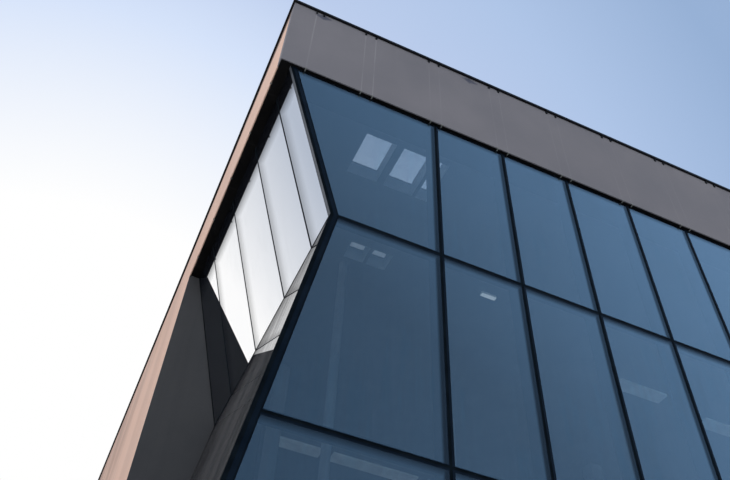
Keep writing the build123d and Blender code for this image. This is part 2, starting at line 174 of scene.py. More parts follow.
class Shape:
    """Corners and faces of one piece while it is being put together."""

    def __init__(self):
        self.mesh = bmesh.new()

    def prism(self, ring, push):
        """Closed solid between a flat ring of corners and the same ring moved along push."""
        near = [self.mesh.verts.new(point) for point in ring]
        far = [self.mesh.verts.new(point + push) for point in ring]
        self.mesh.faces.new(near)
        self.mesh.faces.new(reversed(far))
        for here in range(len(ring)):
            after = (here + 1) % len(ring)
            self.mesh.faces.new((near[after], near[here], far[here], far[after]))

    def block(self, low, high):
        """Box between two opposite corners."""
        ring = [Vector((low.x, low.y, low.z)), Vector((high.x, low.y, low.z)),
                Vector((high.x, low.y, high.z)), Vector((low.x, low.y, high.z))]
        self.prism(ring, Vector((0, high.y - low.y, 0)))

    def box_about(self, middle, size):
        """Box with the given middle."""
        half = Vector(size) / 2
        self.block(middle - half, middle + half)

    def rod(self, start, end, radius, sides=12):
        """Round bar between two points."""
        along = (end - start).normalized()
        across = along.orthogonal().normalized()
        other = along.cross(across)
        turns = [2 * math.pi * side / sides for side in range(sides)]
        ring = [start + radius * (math.cos(a) * across + math.sin(a) * other) for a in turns]
        self.prism(ring, end - start)

    def to_mesh(self, name):
        """Mesh of the shape, with its faces turned outwards."""
        bmesh.ops.recalc_face_normals(self.mesh, faces=self.mesh.faces[:])
        mesh = bpy.data.meshes.new(name)
        self.mesh.to_mesh(mesh)
        self.mesh.free()
        return mesh


def add_object(name, data):
    """Puts a new object into the scene."""
    holder = bpy.data.objects.new(name, data)
    bpy.context.scene.collection.objects.link(holder)
    return holder


def finish_piece(name, shape, finish, stands_for=(), edge=0.0):
    """Turns a shape into a piece of the building, with its edges eased by the width edge."""
    if edge:
        bmesh.ops.bevel(shape.mesh, geom=shape.mesh.edges[:], offset=edge, segments=1, affect="EDGES")
    mesh = shape.to_mesh(name)
    for layer in finish if isinstance(finish, tuple) else (finish,):
        mesh.materials.append(layer)
    piece = add_object(name, mesh)
    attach(piece, "root")
    if stands_for:
        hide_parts(*stands_for)


# Node helpers

def feed(node, inputs):
    """Fills or wires inputs given as {input: value or output}; colours have three parts."""
    for label, value in inputs.items():
        socket = node.inputs[label]
        if isinstance(value, bpy.types.NodeSocket):
            node.id_data.links.new(value, socket)
        else:
            socket.default_value = (*value, 1.0) if socket.type == "RGBA" else value


def place(tree, kind, inputs=None, **settings):
    """Adds a node, sets it up and feeds it."""
    node = tree.nodes.new(kind)
    for key, value in settings.items():
        setattr(node, key, value)
    feed(node, inputs or {})
    return node


def tree_of(values):
    """Tree of the first output among some values."""
    return next(value.id_data for value in values if isinstance(value, bpy.types.NodeSocket))


def reckon(operation, *values):
    """Output of one Math node."""
    return place(tree_of(values), "ShaderNodeMath", dict(enumerate(values)), operation=operation).outputs[0]


def in_turn(operation, values):
    """One value from several, taken in turn by the same operation."""
    total, *others = values
    for value in others:
        total = reckon(operation, total, value)
    return total


def times(*values):
    """Product of some values."""
    return in_turn("MULTIPLY", values)


def minus(first, second):
    """Difference of two values."""
    return reckon("SUBTRACT", first, second)


def split(where):
    """The three parts of a place or a direction."""
    return place(where.id_data, "ShaderNodeSeparateXYZ", {0: where}).outputs


def rise(finish):
    """How far a face looks up, from -1 to 1."""
    return split(place(finish.node_tree, "ShaderNodeNewGeometry").outputs["Normal"])[2]


def blend(share, first, second, mode="MIX"):
    """Output of one colour mix."""
    return place(share.id_data, "ShaderNodeMix", {0: share, 6: first, 7: second}, data_type="RGBA",
                 blend_type=mode).outputs[2]


def spread(value, low, high, to_low=0.0, to_high=1.0, smooth=True):
    """A value taken from one range to another, held at its ends."""
    return place(value.id_data, "ShaderNodeMapRange", {0: value, 1: low, 2: high, 3: to_low, 4: to_high},
                 interpolation_type="SMOOTHSTEP" if smooth else "LINEAR").outputs[0]


def noise(where, scale, detail=3.0, roughness=0.5):
    """Output of one noise."""
    return place(where.id_data, "ShaderNodeTexNoise", {"Vector": where, "Scale": scale, "Detail": detail,
                                                       "Roughness": roughness}).outputs[0]


def stretched(where, *scales):
    """A place with each of its parts scaled by its own factor."""
    return place(where.id_data, "ShaderNodeMapping", {"Vector": where, "Scale": scales}).outputs[0]


def start_group(name, inputs, outputs):
    """New effect with named inputs and outputs; returns its tree, what it is given and its end."""
    tree = bpy.data.node_groups.new(name, "ShaderNodeTree")
    for label, value in inputs.items():
        kind = "NodeSocketVector" if value is None else "NodeSocketFloat"
        socket = tree.interface.new_socket(name=label, in_out="INPUT", socket_type=kind)
        if value is not None:
            socket.default_value = value
    for label in outputs:
        tree.interface.new_socket(name=label, in_out="OUTPUT", socket_type="NodeSocketFloat")
    return tree, tree.nodes.new("NodeGroupInput").outputs, tree.nodes.new("NodeGroupOutput")


def use(effect, **inputs):
    """Places an effect in a finish and returns its outputs."""
    return place(tree_of(inputs.values()), "ShaderNodeGroup", inputs, node_tree=effect).outputs


def start_finish(name, roughness=0.5, metallic=0.0, specular=0.5):
    """New finish; returns it, its shader, and the place on the piece."""
    finish = bpy.data.materials.new(name)
    finish.use_nodes = True
    tree = finish.node_tree
    shader = tree.nodes["Principled BSDF"]
    feed(shader, {"Roughness": roughness, "Metallic": metallic, "Specular IOR Level": specular})
    return finish, shader, tree.nodes.new("ShaderNodeTexCoord").outputs["Object"]


def raise_surface(shader, height, depth):
    """Bump of the given depth in metres."""
    bump = place(shader.id_data, "ShaderNodeBump", {"Height": height, "Distance": depth, "Strength": 1.0})
    feed(shader, {"Normal": bump.outputs[0]})


# Effects

def make_cast_grain():
    """Clouded tone, fine grain and small pores of cast concrete."""
    tree, given, end = start_group(
        "cast_grain", {"Place": None, "Cloud": 0.5, "Grain": 60.0}, ("Shade", "Pores", "Height"))
    clouds = noise(given["Place"], given["Cloud"], 4.0, 0.6)
    fine = noise(given["Place"], given["Grain"], 2.0)
    shade = reckon("ADD", times(clouds, 0.75), times(fine, 0.25))
    cells = place(tree, "ShaderNodeTexVoronoi", {"Vector": given["Place"], "Scale": given["Grain"]})
    dots = spread(cells.outputs["Distance"], 0.10, 0.20, 1.0, 0.0)
    some = noise(given["Place"], times(given["Grain"], 0.15))
    pores = times(dots, spread(some, 0.55, 0.7))
    feed(end, {"Shade": spread(shade, 0.3, 0.7), "Pores": pores,
               "Height": minus(fine, pores)})
    return tree


def make_rain_marks():
    """Upright streaks that start under a top edge and fade below it."""
    tree, given, end = start_group(
        "rain_marks", {"Place": None, "Top": 16.5, "Reach": 1.0, "Spacing": 3.0}, ("Marks",))
    below = minus(given["Top"], split(given["Place"])[2])
    fade = spread(reckon("DIVIDE", below, given["Reach"]), 0.0, 1.0, 1.0, 0.0)
    threads = noise(stretched(given["Place"], 1.0, 1.0, 0.04), given["Spacing"], 5.0, 0.65)
    feed(end, {"Marks": times(spread(threads, 0.48, 0.72), fade)})
    return tree


def make_paired_lines():
    """Pairs of fine upright lines at an even spacing along a face."""
    tree, given, end = start_group(
        "paired_lines", {"Along": 0.0, "Start": 0.0, "Spacing": 1.5, "Gap": 0.2, "Width": 0.01},
        ("Lines",))
    half = times(given["Spacing"], 0.5)
    shifted = minus(given["Along"], given["Start"])
    near = reckon("WRAP", shifted, half, times(half, -1.0))
    off = minus(reckon("ABSOLUTE", near), times(given["Gap"], 0.5))
    share = reckon("DIVIDE", reckon("ABSOLUTE", off), given["Width"])
    feed(end, {"Lines": spread(share, 0.4, 1.0, 1.0, 0.0)})
    return tree


def make_coat_grain():
    """Faint unevenness and dust of a painted or coated surface."""
    tree, given, end = start_group(
        "coat_grain", {"Place": None, "Grain": 300.0, "Smudge": 2.0}, ("Shade", "Gloss", "Height"))
    smudge = noise(given["Place"], given["Smudge"], 4.0, 0.6)
    fine = noise(given["Place"], given["Grain"], 1.0)
    gloss = reckon("ADD", times(smudge, 0.7), times(fine, 0.3))
    feed(end, {"Shade": spread(smudge, 0.3, 0.7), "Gloss": gloss, "Height": fine})
    return tree


def make_glass_film():
    """Thin film of dust and old rain on glass."""
    tree, given, end = start_group("glass_film", {"Place": None}, ("Film",))
    threads = noise(stretched(given["Place"], 1.0, 1.0, 0.06), 7.0, 5.0, 0.7)
    cloud = noise(given["Place"], 0.35, 2.0)
    feed(end, {"Film": spread(times(threads, cloud), 0.2, 0.5)})
    return tree


cast_grain = make_cast_grain()
rain_marks = make_rain_marks()
paired_lines = make_paired_lines()
coat_grain = make_coat_grain()
glass_film = make_glass_film()


# Concrete

def board_lines(where, from_end):
    """Faint lines on both sides of each joint of the band's boards, and one near the band's end."""
    pairs = use(paired_lines, Along=from_end, Start=GRID_INSET, Spacing=MODULE, Gap=BOARD_GAP,
                Width=LINE_WIDTH)
    inner = reckon("GREATER_THAN", from_end, GRID_INSET + MODULE / 2)
    fading = spread(from_end, *LINES_FADE, 1.3, 0.45)
    off_end_line = reckon("ABSOLUTE", minus(from_end, END_LINE))
    lines = reckon("ADD", times(pairs["Lines"], inner, fading),
                   spread(off_end_line, 0.008, 0.020, 1.6, 0.0))
    uneven = noise(stretched(where, 1.0, 1.0, 0.6), 1.1, 3.0)
    return times(lines, spread(uneven, 0.35, 0.65, 0.10, 0.42))


def wear_and_coping_shadow(where, colour):
    """Darkens the side band in upright streaks towards the back, and paints the shadow under its coping."""
    parts = split(where)
    streaks = noise(stretched(where, 0.8, 0.8, 0.22), 0.75, 5.0, 0.55)
    back = spread(parts[1], FRONT + WEAR_START, -FRONT, 0.02, 1.0, smooth=False)
    worn = times(back, spread(streaks, 0.36, 0.64, 0.38, 0.95))
    colour = blend(worn, colour, (0.30, 0.29, 0.30), "MULTIPLY")
    # Painted shadow under the side coping, deeper near the front
    start, stop = COPING_SHADOW_RANGE
    depth = spread(parts[1], FRONT + start, FRONT + stop, *COPING_SHADOW_DEPTHS, smooth=False)
    under = reckon("DIVIDE", minus(BAND_TOP, parts[2]), depth)
    return blend(spread(under, 0.60, 1.0, 0.78, 0.0), colour, (0.05, 0.045, 0.045))


def stain(where, x, half_width, colour):
    """Adds a small dark ragged stain under the coping of the front, about x."""
    parts = split(where)
    aside = reckon("DIVIDE", minus(parts[0], LEFT + x), half_width)
    below = minus(BAND_TOP - STAIN_HALF_HEIGHT, parts[2])
    below = reckon("DIVIDE", below, STAIN_HALF_HEIGHT)
    off = reckon("ADD", reckon("ABSOLUTE", aside), reckon("ABSOLUTE", below))
    ragged = reckon("ADD", off, times(noise(where, 14.0, 4.0, 0.7), 1.2))
    return blend(spread(ragged, 1.15, 1.75, 0.85, 0.0), colour, (0.05, 0.058, 0.092))


def make_band_concrete(name, pale, dark, line_tone, along_axis, length, worn=False, stains=()):
    """Smooth cast boards, a little darker at the foot of the band, with faint joint lines."""
    finish, shader, where = start_finish(name, roughness=0.8, specular=0.35)
    grain = use(cast_grain, Place=where, Cloud=0.55, Grain=70.0)
    colour = blend(grain["Shade"], dark, pale)
    parts = split(where)
    lower = spread(parts[2], BAND_TOP, BAND_BOTTOM, 0.0, 0.22, smooth=False)
    colour = blend(lower, colour, dark)
    from_end = minus(length / 2, reckon("ABSOLUTE", parts[along_axis]))
    colour = blend(board_lines(where, from_end), colour, line_tone)
    # Worn side bands also get the painted shadow under their coping
    if worn:
        colour = wear_and_coping_shadow(where, colour)
    for x, half_width in stains:
        colour = stain(where, x, half_width, colour)
    marks = use(rain_marks, Place=where, Top=BAND_TOP, Reach=1.6, Spacing=2.2)["Marks"]
    colour = blend(times(marks, 0.35), colour, dark)
    colour = blend(times(grain["Pores"], 0.5), colour, dark)
    feed(shader, {"Base Color": colour, "Roughness": spread(grain["Shade"], 0.0, 1.0, 0.7, 0.88)})
    raise_surface(shader, grain["Height"], 0.0012)
    return finish


def make_inner_concrete():
    """Cast floors, beams and roof slab, with lapped strips of grey felt on top of the roof."""
    finish, shader, where = start_finish("inner_concrete", roughness=0.75, specular=0.3)
    grain = use(cast_grain, Place=where, Cloud=0.8, Grain=60.0)
    cast = blend(grain["Shade"], (0.20, 0.20, 0.20), (0.27, 0.27, 0.265))
    cast = blend(grain["Pores"], cast, (0.12, 0.12, 0.12))
    parts = split(where)
    laps = use(paired_lines, Along=parts[0], Start=0.0, Spacing=1.0, Gap=0.08, Width=0.012)
    felt = blend(grain["Shade"], (0.16, 0.165, 0.17), (0.22, 0.225, 0.23))
    felt = blend(laps["Lines"], felt, (0.10, 0.10, 0.105))
    on_top = times(spread(rise(finish), 0.6, 0.9),
                   reckon("GREATER_THAN", parts[2], CEILING + 0.1))
    feed(shader, {"Base Color": blend(on_top, cast, felt),
                  "Roughness": spread(grain["Shade"], 0.0, 1.0, 0.65, 0.85)})
    raise_surface(shader, grain["Height"], 0.001)
    return finish


# Coated surfaces

def start_coated(name, dark, pale, roughness, metallic=0.0, specular=0.5, grain=260.0, smudge=1.6,
                 uneven=(-0.08, 0.10), depth=0.0002):
    """New finish with faint dust and grain, its roughness changed by no more than uneven; returns it,
    its shader, the place on the piece, and its colour, which isn't wired yet."""
    finish, shader, where = start_finish(name, roughness, metallic, specular)
    coat = use(coat_grain, Place=where, Grain=grain, Smudge=smudge)
    if uneven:
        least, most = [roughness + change for change in uneven]
        feed(shader, {"Roughness": spread(coat["Gloss"], 0.2, 0.8, least, most)})
    if depth:
        raise_surface(shader, coat["Height"], depth)
    return finish, shader, where, blend(coat["Shade"], dark, pale)


def make_coated(*tones, **settings):
    """Coated surface with nothing more on it."""
    finish, shader, _, colour = start_coated(*tones, **settings)
    feed(shader, {"Base Color": colour})
    return finish


def make_soffit():
    """Dark soffit boards with a fine joint at each board, drawn near-black, which also paints the shade
    under the band.
    """
    finish, shader, where, colour = start_coated(
        "soffit_panel", (0.0015, 0.0015, 0.0018), (0.004, 0.004, 0.0045), 0.7, specular=0.05,
        grain=120.0, smudge=0.9, uneven=(-0.2, 0.0), depth=0.0003)
    across = use(paired_lines, Along=split(where)[1], Start=FRONT + SOFFIT_START,
                 Spacing=SOFFIT_BOARD, Gap=0.0, Width=0.012)["Lines"]
    feed(shader, {"Base Color": blend(across, colour, (0.010, 0.010, 0.011))})
    return finish


def make_reveal():
    """Charcoal board at the end of the side glazing, with a painted reflection: it is drawn darker for
    glossy rays, so the glass mirrors it darker than it is.
    """
    finish, shader, where, colour = start_coated(
        "charcoal_panel", (0.070, 0.073, 0.080), (0.086, 0.089, 0.097), 0.6, specular=0.35,
        grain=90.0, smudge=0.7, uneven=(-0.1, 0.1), depth=0.0004)
    marks = use(rain_marks, Place=where, Top=HEAD, Reach=12.0, Spacing=2.5)["Marks"]
    colour = blend(times(marks, 0.3), colour, (0.045, 0.047, 0.052))
    # Painted reflection: darker colour for glossy rays only
    in_mirror = place(finish.node_tree, "ShaderNodeLightPath").outputs["Is Glossy Ray"]
    colour = blend(in_mirror, colour, (0.018, 0.019, 0.022))
    feed(shader, {"Base Color": colour})
    return finish


def make_light_panel():
    """Pale lamps under the ceiling, of which the small one near the front is lit, on its underside."""
    finish, shader, where, colour = start_coated(
        "light_panel", (0.62, 0.66, 0.68), (0.80, 0.84, 0.86), 0.5, grain=40.0, smudge=3.0,
        uneven=None, depth=0.0)
    downward = reckon("LESS_THAN", rise(finish), -0.5)
    lit = times(downward, reckon("LESS_THAN", split(where)[1], FRONT + LIT_Y))
    glow = spread(lit, 0.0, 1.0, 0.08, 0.70, smooth=False)
    feed(shader, {"Base Color": colour, "Emission Strength": 1.0,
                  "Emission Color": blend(glow, (0.0, 0.0, 0.0), colour)})
    return finish


# Glass

def lay_over(share, below, colour):
    """A matt layer of the given colour over part of a surface."""
    layer = place(share.id_data, "ShaderNodeBsdfPrincipled", {"Base Color": colour, "Roughness": 0.9,
                                                              "Specular IOR Level": 0.0})
    return mix_surfaces(share, below, layer.outputs[0])


def mix_surfaces(share, first, second):
    """Two surfaces mixed by a share."""
    return place(share.id_data, "ShaderNodeMixShader", {0: share, 1: first, 2: second}).outputs[0]


def shade_under_level(parts, level, solid, reach, strength):
    """Share of painted shade under a level: solid at first, then fading out."""
    below = minus(level, parts[2])
    fade = spread(below, solid, solid + reach, strength, 0.0, smooth=False)
    return times(fade, reckon("GREATER_THAN", below, 0.0))


def shade_beside_side_joint(parts, y):
    """Share of the faint painted shade that thickens towards the side joint at y."""
    fade = spread(parts[1], FRONT + y - SHADE_WIDTH, FRONT + y, 0.0, SHADE_SHARE)
    return times(fade, reckon("LESS_THAN", parts[1], FRONT + y))


def shade_beside_front_joints(parts):
    """Share of the painted shade on the left of each upright joint of the front."""
    start = LEFT + FIRST_MULLION
    after = reckon("WRAP", minus(parts[0], start), MODULE, 0.0)
    stop = MODULE - JOINT / 2
    fade = spread(after, stop - FRONT_SHADE_WIDTH, stop - 0.5 * FRONT_SHADE_WIDTH, 0.0, FRONT_SHADE_SHARE)
    return times(fade, reckon("GREATER_THAN", parts[0], start - MODULE / 2),
                 reckon("LESS_THAN", parts[0], start + MODULE * BAYS))


def lay_grime(where, turned, surface):
    """Streaked grime on glass that leans up: darker towards the waist and the back, seen at a low
    angle."""
    parts = split(where)
    along = stretched(where, 0.1, 1.0, 0.05)
    near = spread(parts[2], WAIST - GRIME_REACH, WAIST, smooth=False)
    threads = noise(along, 5.0, 6.0, 0.75)
    grime = times(spread(near, 0.0, 1.0, 0.41, 0.76, smooth=False),
                  spread(threads, 0.35, 0.65, 0.80, 1.20, smooth=False),
                  spread(turned, 0.60, 0.93, 0.12, 1.0))
    far = spread(parts[1], FRONT + 2.2, FRONT + 5.0, 0.0, 0.65)
    scratches = noise(along, 4.5, 5.0, 0.8)
    dusty = blend(spread(scratches, 0.40, 0.62), (0.050, 0.054, 0.062),
                        (0.135, 0.140, 0.152))
    dusty = blend(reckon("MAXIMUM", near, far), dusty, (0.004, 0.004, 0.006))
    return lay_over(grime, surface, dusty)


def make_glass(name, clear, mirror_tone, mirrored, film_tone, dots=(), side_ys=(), jointed=False,
               grimed=False, darker_share=0.0):
    """Coated glass: a clear sheet head on, and more and more of a mirror at a low angle, as mirrored
    says by two angles and the shares there. Each of dots gives a level, the height of the solid painted
    shade under it, how far that shade fades out below and its strength. Faint painted shade thickens
    towards each of side_ys, and jointed glass has painted shade at the front's joints. The sheet is
    drawn darker by darker_share behind DARKER_FROM."""
    finish, clear_shader, where = start_finish(name, roughness=0.0, specular=0.2)
    tree = finish.node_tree
    parts = split(where)
    film = use(glass_film, Place=where)["Film"]
    feed(clear_shader, {"Transmission Weight": 1.0, "IOR": 1.45,
                        "Base Color": blend(film, clear, film_tone)})
    mirror = place(tree, "ShaderNodeBsdfPrincipled", {
        "Metallic": 1.0, "Base Color": blend(film, mirror_tone, film_tone),
        "Roughness": spread(film, 0.3, 1.0, 0.0, 0.06)})
    turned = place(tree, "ShaderNodeLayerWeight", {"Blend": 0.5}).outputs["Facing"]
    share = spread(turned, *mirrored, smooth=False)
    outer = minus(1.0, place(tree, "ShaderNodeNewGeometry").outputs["Backfacing"])
    surface = mix_surfaces(times(share, outer), clear_shader.outputs[0], mirror.outputs[0])
    covers = [shade_under_level(parts, *row) for row in dots]
    covers += [shade_beside_side_joint(parts, y) for y in side_ys]
    if darker_share:
        behind = reckon("GREATER_THAN", parts[1], FRONT + DARKER_FROM)
        covers.append(times(behind, darker_share))
    if jointed:
        covers.append(shade_beside_front_joints(parts))
    # A near-black matt layer where the covers say: painted shade under the levels and beside the joints,
    # and the darker rooflights
    if covers:
        surface = lay_over(in_turn("MAXIMUM", covers), surface, (0.004, 0.005, 0.008))
    if grimed:
        surface = lay_grime(where, turned, surface)
    feed(tree.nodes["Material Output"], {"Surface": surface})
    return finish


# All finishes

printed_edge = make_coated("printed_edge", (0.002, 0.0055, 0.012), (0.004, 0.009, 0.018), 0.25,
                           specular=0.05, grain=200.0, smudge=2.0, uneven=None, depth=0.0)
# One and the same concrete: the front and back band is drawn darker and greyer, painting its shade, and the
# side band paler and warmer, painting part of the sunlight on it.
front_concrete = make_band_concrete(
    "front_concrete", (0.183, 0.184, 0.214), (0.148, 0.150, 0.176), (0.27, 0.27, 0.30),
    0, WIDTH, stains=COPING_STAINS)
side_concrete = make_band_concrete(
    "side_concrete", (0.66, 0.463, 0.384), (0.58, 0.410, 0.347), (0.74, 0.56, 0.49),
    1, DEPTH, worn=True)
inner_concrete = make_inner_concrete()
soffit_panel = make_soffit()
charcoal_panel = make_reveal()
light_panel = make_light_panel()
black_metal = make_coated("black_metal", (0.003, 0.003, 0.004), (0.006, 0.006, 0.007), 0.4,
                          specular=0.15)
dark_bars = make_coated("dark_bars", (0.002, 0.004, 0.007), (0.005, 0.007, 0.011), 0.45,
                        specular=0.06)
edge_metal = make_coated("edge_metal", (0.060, 0.070, 0.085), (0.095, 0.105, 0.125), 0.5,
                         specular=0.2)
clip_metal = make_coated("clip_metal", (0.13, 0.14, 0.14), (0.19, 0.20, 0.20), 0.5, specular=0.2)
white_lining = make_coated("white_lining", (0.62, 0.63, 0.64), (0.72, 0.73, 0.74), 0.5)
steel = make_coated("brushed_steel", (0.52, 0.52, 0.53), (0.66, 0.66, 0.67), 0.3, metallic=1.0)
column_paint = make_coated("column_paint", (0.36, 0.37, 0.38), (0.45, 0.46, 0.47), 0.55,
                           grain=150.0, smudge=1.2, uneven=(-0.10, 0.10), depth=0.0003)
joint_rubber = make_coated("joint_rubber", (0.001, 0.0028, 0.005), (0.003, 0.0065, 0.0105), 0.7,
                           specular=0.045, grain=200.0, smudge=4.0, uneven=None, depth=0.0003)

clear_tone = (0.50, 0.56, 0.60)
side_ys = [GLASS_Y + share * (SIDE_END_Y - GLASS_Y) for share in SIDE_JOINTS]
front_glass = make_glass(
    "front_glass", clear_tone, (0.53, 0.83, 1.0), (0.35, 0.60, 0.20, 0.46), (0.50, 0.72, 0.84),
    dots=((HEAD, 0.0, HEAD_SHADE_REACH, 0.85), (WAIST, 0.07, LEVEL_SHADE_REACH, 0.75),
          (MIDDLE, 0.05, LEVEL_SHADE_REACH, 0.65), (FOOT, 0.05, LEVEL_SHADE_REACH, 0.65)), jointed=True)
side_glass = make_glass(
    "side_glass", clear_tone, (0.99, 0.99, 0.995), (0.30, 0.60, 0.25, 0.97), (0.92, 0.925, 0.93),
    dots=((HEAD, SIDE_HEAD_SHADE, SIDE_HEAD_SHADE_REACH, 0.8),), side_ys=side_ys)
leaning_glass = make_glass(
    "leaning_glass", clear_tone, (0.95, 0.95, 0.97), (0.30, 0.60, 0.25, 0.62), (0.80, 0.80, 0.82),
    grimed=True)
leaning_print = make_glass(
    "leaning_print", (0.004, 0.005, 0.007), (0.90, 0.90, 0.92), (0.30, 0.90, 0.02, 0.62),
    (0.70, 0.70, 0.72), grimed=True)
roof_glass = make_glass(
    "roof_glass", (0.76, 0.77, 0.77), (0.80, 0.90, 1.0), (0.3, 0.9, 0.05, 0.6),
    (0.60, 0.62, 0.62), darker_share=0.36)

carried_over = {
    front_concrete: ("front_fascia", "back_fascia", "back_wall_left", "back_wall_right"),
    side_concrete: ("left_fascia", "right_fascia", "left_wall", "right_wall"),
    inner_concrete: ("ground_slab", "upper_floors", "roof_slab", "front_beam", "left_beam",
                     "right_beam"),
    black_metal: ("front_coping", "back_coping", "left_coping", "right_coping"),
    soffit_panel: ("front_soffit", "left_soffit", "right_soffit"),
    charcoal_panel: ("left_reveal", "right_reveal"),
    dark_bars: ("front_frame", "left_side_frame", "right_side_frame", "back_frame", "entrance_doors"),
    joint_rubber: ("left_corner_post", "right_corner_post"),
    front_glass: ("entrance_glass",),
    roof_glass: ("rooflights",),
    light_panel: ("ceiling_lights",),
    column_paint: ("columns",),
}
for finish, names in carried_over.items():
    for name in names:
        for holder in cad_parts[name].material_slots:
            holder.material = finish


# Rows of small parts

def make_spaced_row():
    """Copies of a part at even steps along a straight line."""
    tree = bpy.data.node_groups.new("spaced_row", "GeometryNodeTree")
    for label, kind in (("Part", "Object"), ("Start", "Vector"), ("Step", "Vector"), ("Count", "Int"),
                        ("Finish", "Material")):
        tree.interface.new_socket(name=label, in_out="INPUT", socket_type=f"NodeSocket{kind}")
    tree.interface.new_socket(name="Geometry", in_out="OUTPUT", socket_type="NodeSocketGeometry")
    given = tree.nodes.new("NodeGroupInput").outputs
    line = place(tree, "GeometryNodeMeshLine", mode="OFFSET", inputs={
        "Count": given["Count"], "Start Location": given["Start"], "Offset": given["Step"]})
    part = place(tree, "GeometryNodeObjectInfo", {"Object": given["Part"]})
    copies = place(tree, "GeometryNodeInstanceOnPoints", {"Points": line.outputs[0],
                                                          "Instance": part.outputs["Geometry"]})
    solid = place(tree, "GeometryNodeRealizeInstances", {"Geometry": copies.outputs[0]})
    finished = place(tree, "GeometryNodeSetMaterial", {"Geometry": solid.outputs[0],
                                                       "Material": given["Finish"]})
    place(tree, "NodeGroupOutput", {0: finished.outputs[0]})
    return tree


spaced_row = make_spaced_row()


def row_piece(name, shape, start, step, count, finish):
    """Piece made of copies of a shape: the first one moved to start, each next one a step further."""
    part = add_object(f"{name}_part", shape.to_mesh(f"{name}_part"))
    row = add_object(name, bpy.data.meshes.new(name))
    modifier = row.modifiers.new("row", "NODES")
    modifier.node_group = spaced_row
    values = {"Part": part, "Start": start, "Step": step, "Count": count, "Finish": finish}
    for socket in spaced_row.interface.items_tree:
        if socket.in_out == "INPUT":
            modifier[socket.identifier] = values[socket.name]
    seen = row.evaluated_get(bpy.context.evaluated_depsgraph_get())
    made = bpy.data.meshes.new_from_object(seen)
    row.modifiers.remove(modifier)
    row.data = made
    bpy.data.objects.remove(part)
    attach(row, "root")


# Concrete band

def add_tab(shape, point):
    """Small tab that hangs before the coping from a point on its top edge."""
    width, depth, height = TAB
    shape.box_about(point - Vector((0, depth / 2, height / 2)), TAB)


def add_clip(shape, clip, point, side=1):
    """Small angle about a point, mirrored on the right (-1)."""
    for (x, y, z), size in clip:
        shape.box_about(point + Vector((side * x, y, z)), size)


grid_step = Vector((MODULE, 0, 0))
tabs, end_tabs, clips, end_clips = Shape(), Shape(), Shape(), Shape()
for aside in (-BOARD_GAP / 2, BOARD_GAP / 2):
    add_tab(tabs, Vector((aside, 0, 0)))
    add_clip(clips, FRONT_CLIP, Vector((aside, 0, 0)))
for side, word in SIDES:
    add_clip(end_clips, FRONT_CLIP, spot(from_side(END_LINE, side), 0, BAND_BOTTOM))
    for x in (END_LINE, END_LINE + END_TAB_STEP):
        add_tab(end_tabs, spot(from_side(x, side), 0, BAND_TOP))
row_piece("coping_tabs", tabs, spot(GRID_INSET + MODULE, 0, BAND_TOP), grid_step, INNER_GRID_LINES,
          black_metal)
finish_piece("coping_end_tabs", end_tabs, black_metal)
row_piece("band_clips", clips, spot(GRID_INSET + MODULE, 0, BAND_BOTTOM), grid_step, INNER_GRID_LINES,
          clip_metal)
finish_piece("band_end_clips", end_clips, clip_metal)

for side, word in SIDES:
    clip = Shape()
    add_clip(clip, SIDE_CLIP, Vector(), side)
    start = spot(0, SIDE_CLIP_START, BAND_BOTTOM)
    start.x *= side
    row_piece(f"{word}_band_clips", clip, start, Vector((0, SIDE_CLIP_STEP, 0)), SIDE_CLIP_COUNT,
              clip_metal)


# Front glazing

def oblong(x0, x1, z0, z1):
    """(x, z) corners of an upright oblong."""
    return [(x0, z0), (x1, z0), (x1, z1), (x0, z1)]


def upright_bar(shape, corners, y, thickness):
    """Flat bar with the given (x, z) corners, its outer face at y."""
    shape.prism([spot(x, y, z) for x, z in corners], Vector((0, thickness, 0)))


def drawn_in(corners, margins):
    """(x, z) corners of an outline with each side moved in by its own margin; sides start at each
    corner."""
    lines = []
    count = len(corners)
    for here in range(count):
        start, end = Vector(corners[here]), Vector(corners[(here + 1) % count])
        along = (end - start).normalized()
        inward = Vector((-along.y, along.x))
        lines.append((start + inward * margins[here], along))
    inner = []
    for here in range(count):
        (p, d), (q, e) = lines[here - 1], lines[here]
        step = ((q - p).x * e.y - (q - p).y * e.x) / (d.x * e.y - d.y * e.x)
        inner.append(tuple(p + d * step))
    return inner


def printed_pane(shape, corners, margins, y, thickness=GLASS):
    """Pane whose faces have a dark printed band, as wide as each margin, round their clear middle."""
    inner = drawn_in(corners, margins)
    mesh = shape.mesh
    outer, middle, back_outer, back_middle = [
        [mesh.verts.new(spot(x, depth, z)) for x, z in outline]
        for depth in (y, y + thickness) for outline in (corners, inner)]
    mesh.faces.new(middle)
    mesh.faces.new(reversed(back_middle))
    for here in range(len(corners)):
        after = (here + 1) % len(corners)
        for face in ((outer[here], outer[after], middle[after], middle[here]),
                     (back_outer[after], back_outer[here], back_middle[here], back_middle[after]),
                     (outer[after], outer[here], back_outer[here], back_outer[after])):
            mesh.faces.new(face).material_index = 1


mullions = [FIRST_MULLION + MODULE * step for step in range(BAYS + 1)]
levels = (FLOOR, FOOT, MIDDLE, WAIST, HEAD)


def post_strip(low, high, near, far, side=1):
    """(x, z) corners of a strip along a leaning post, from near to far off the corner."""
    ring = ((near, low), (far, low), (far, high), (near, high))
    return [(from_side(x + inset(z), side), z) for x, z in ring]


def front_row(low, high, top_joint):
    """(x, z) corners of each pane of one row, from left to right, anticlockwise from the lower left."""
    low += JOINT / 2
    high -= top_joint
    low_edge, high_edge = [POST + EDGE_JOINT + inset(z) for z in (low, high)]
    first, last = mullions[0] - JOINT / 2, mullions[-1] + JOINT / 2
    panes = [[(low_edge, low), (first, low), (first, high), (high_edge, high)]]
    for here, after in zip(mullions, mullions[1:]):
        panes.append(oblong(here + JOINT / 2, after - JOINT / 2, low, high))
    panes.append([(last, low), (WIDTH - low_edge, low), (WIDTH - high_edge, high), (last, high)])
    return panes


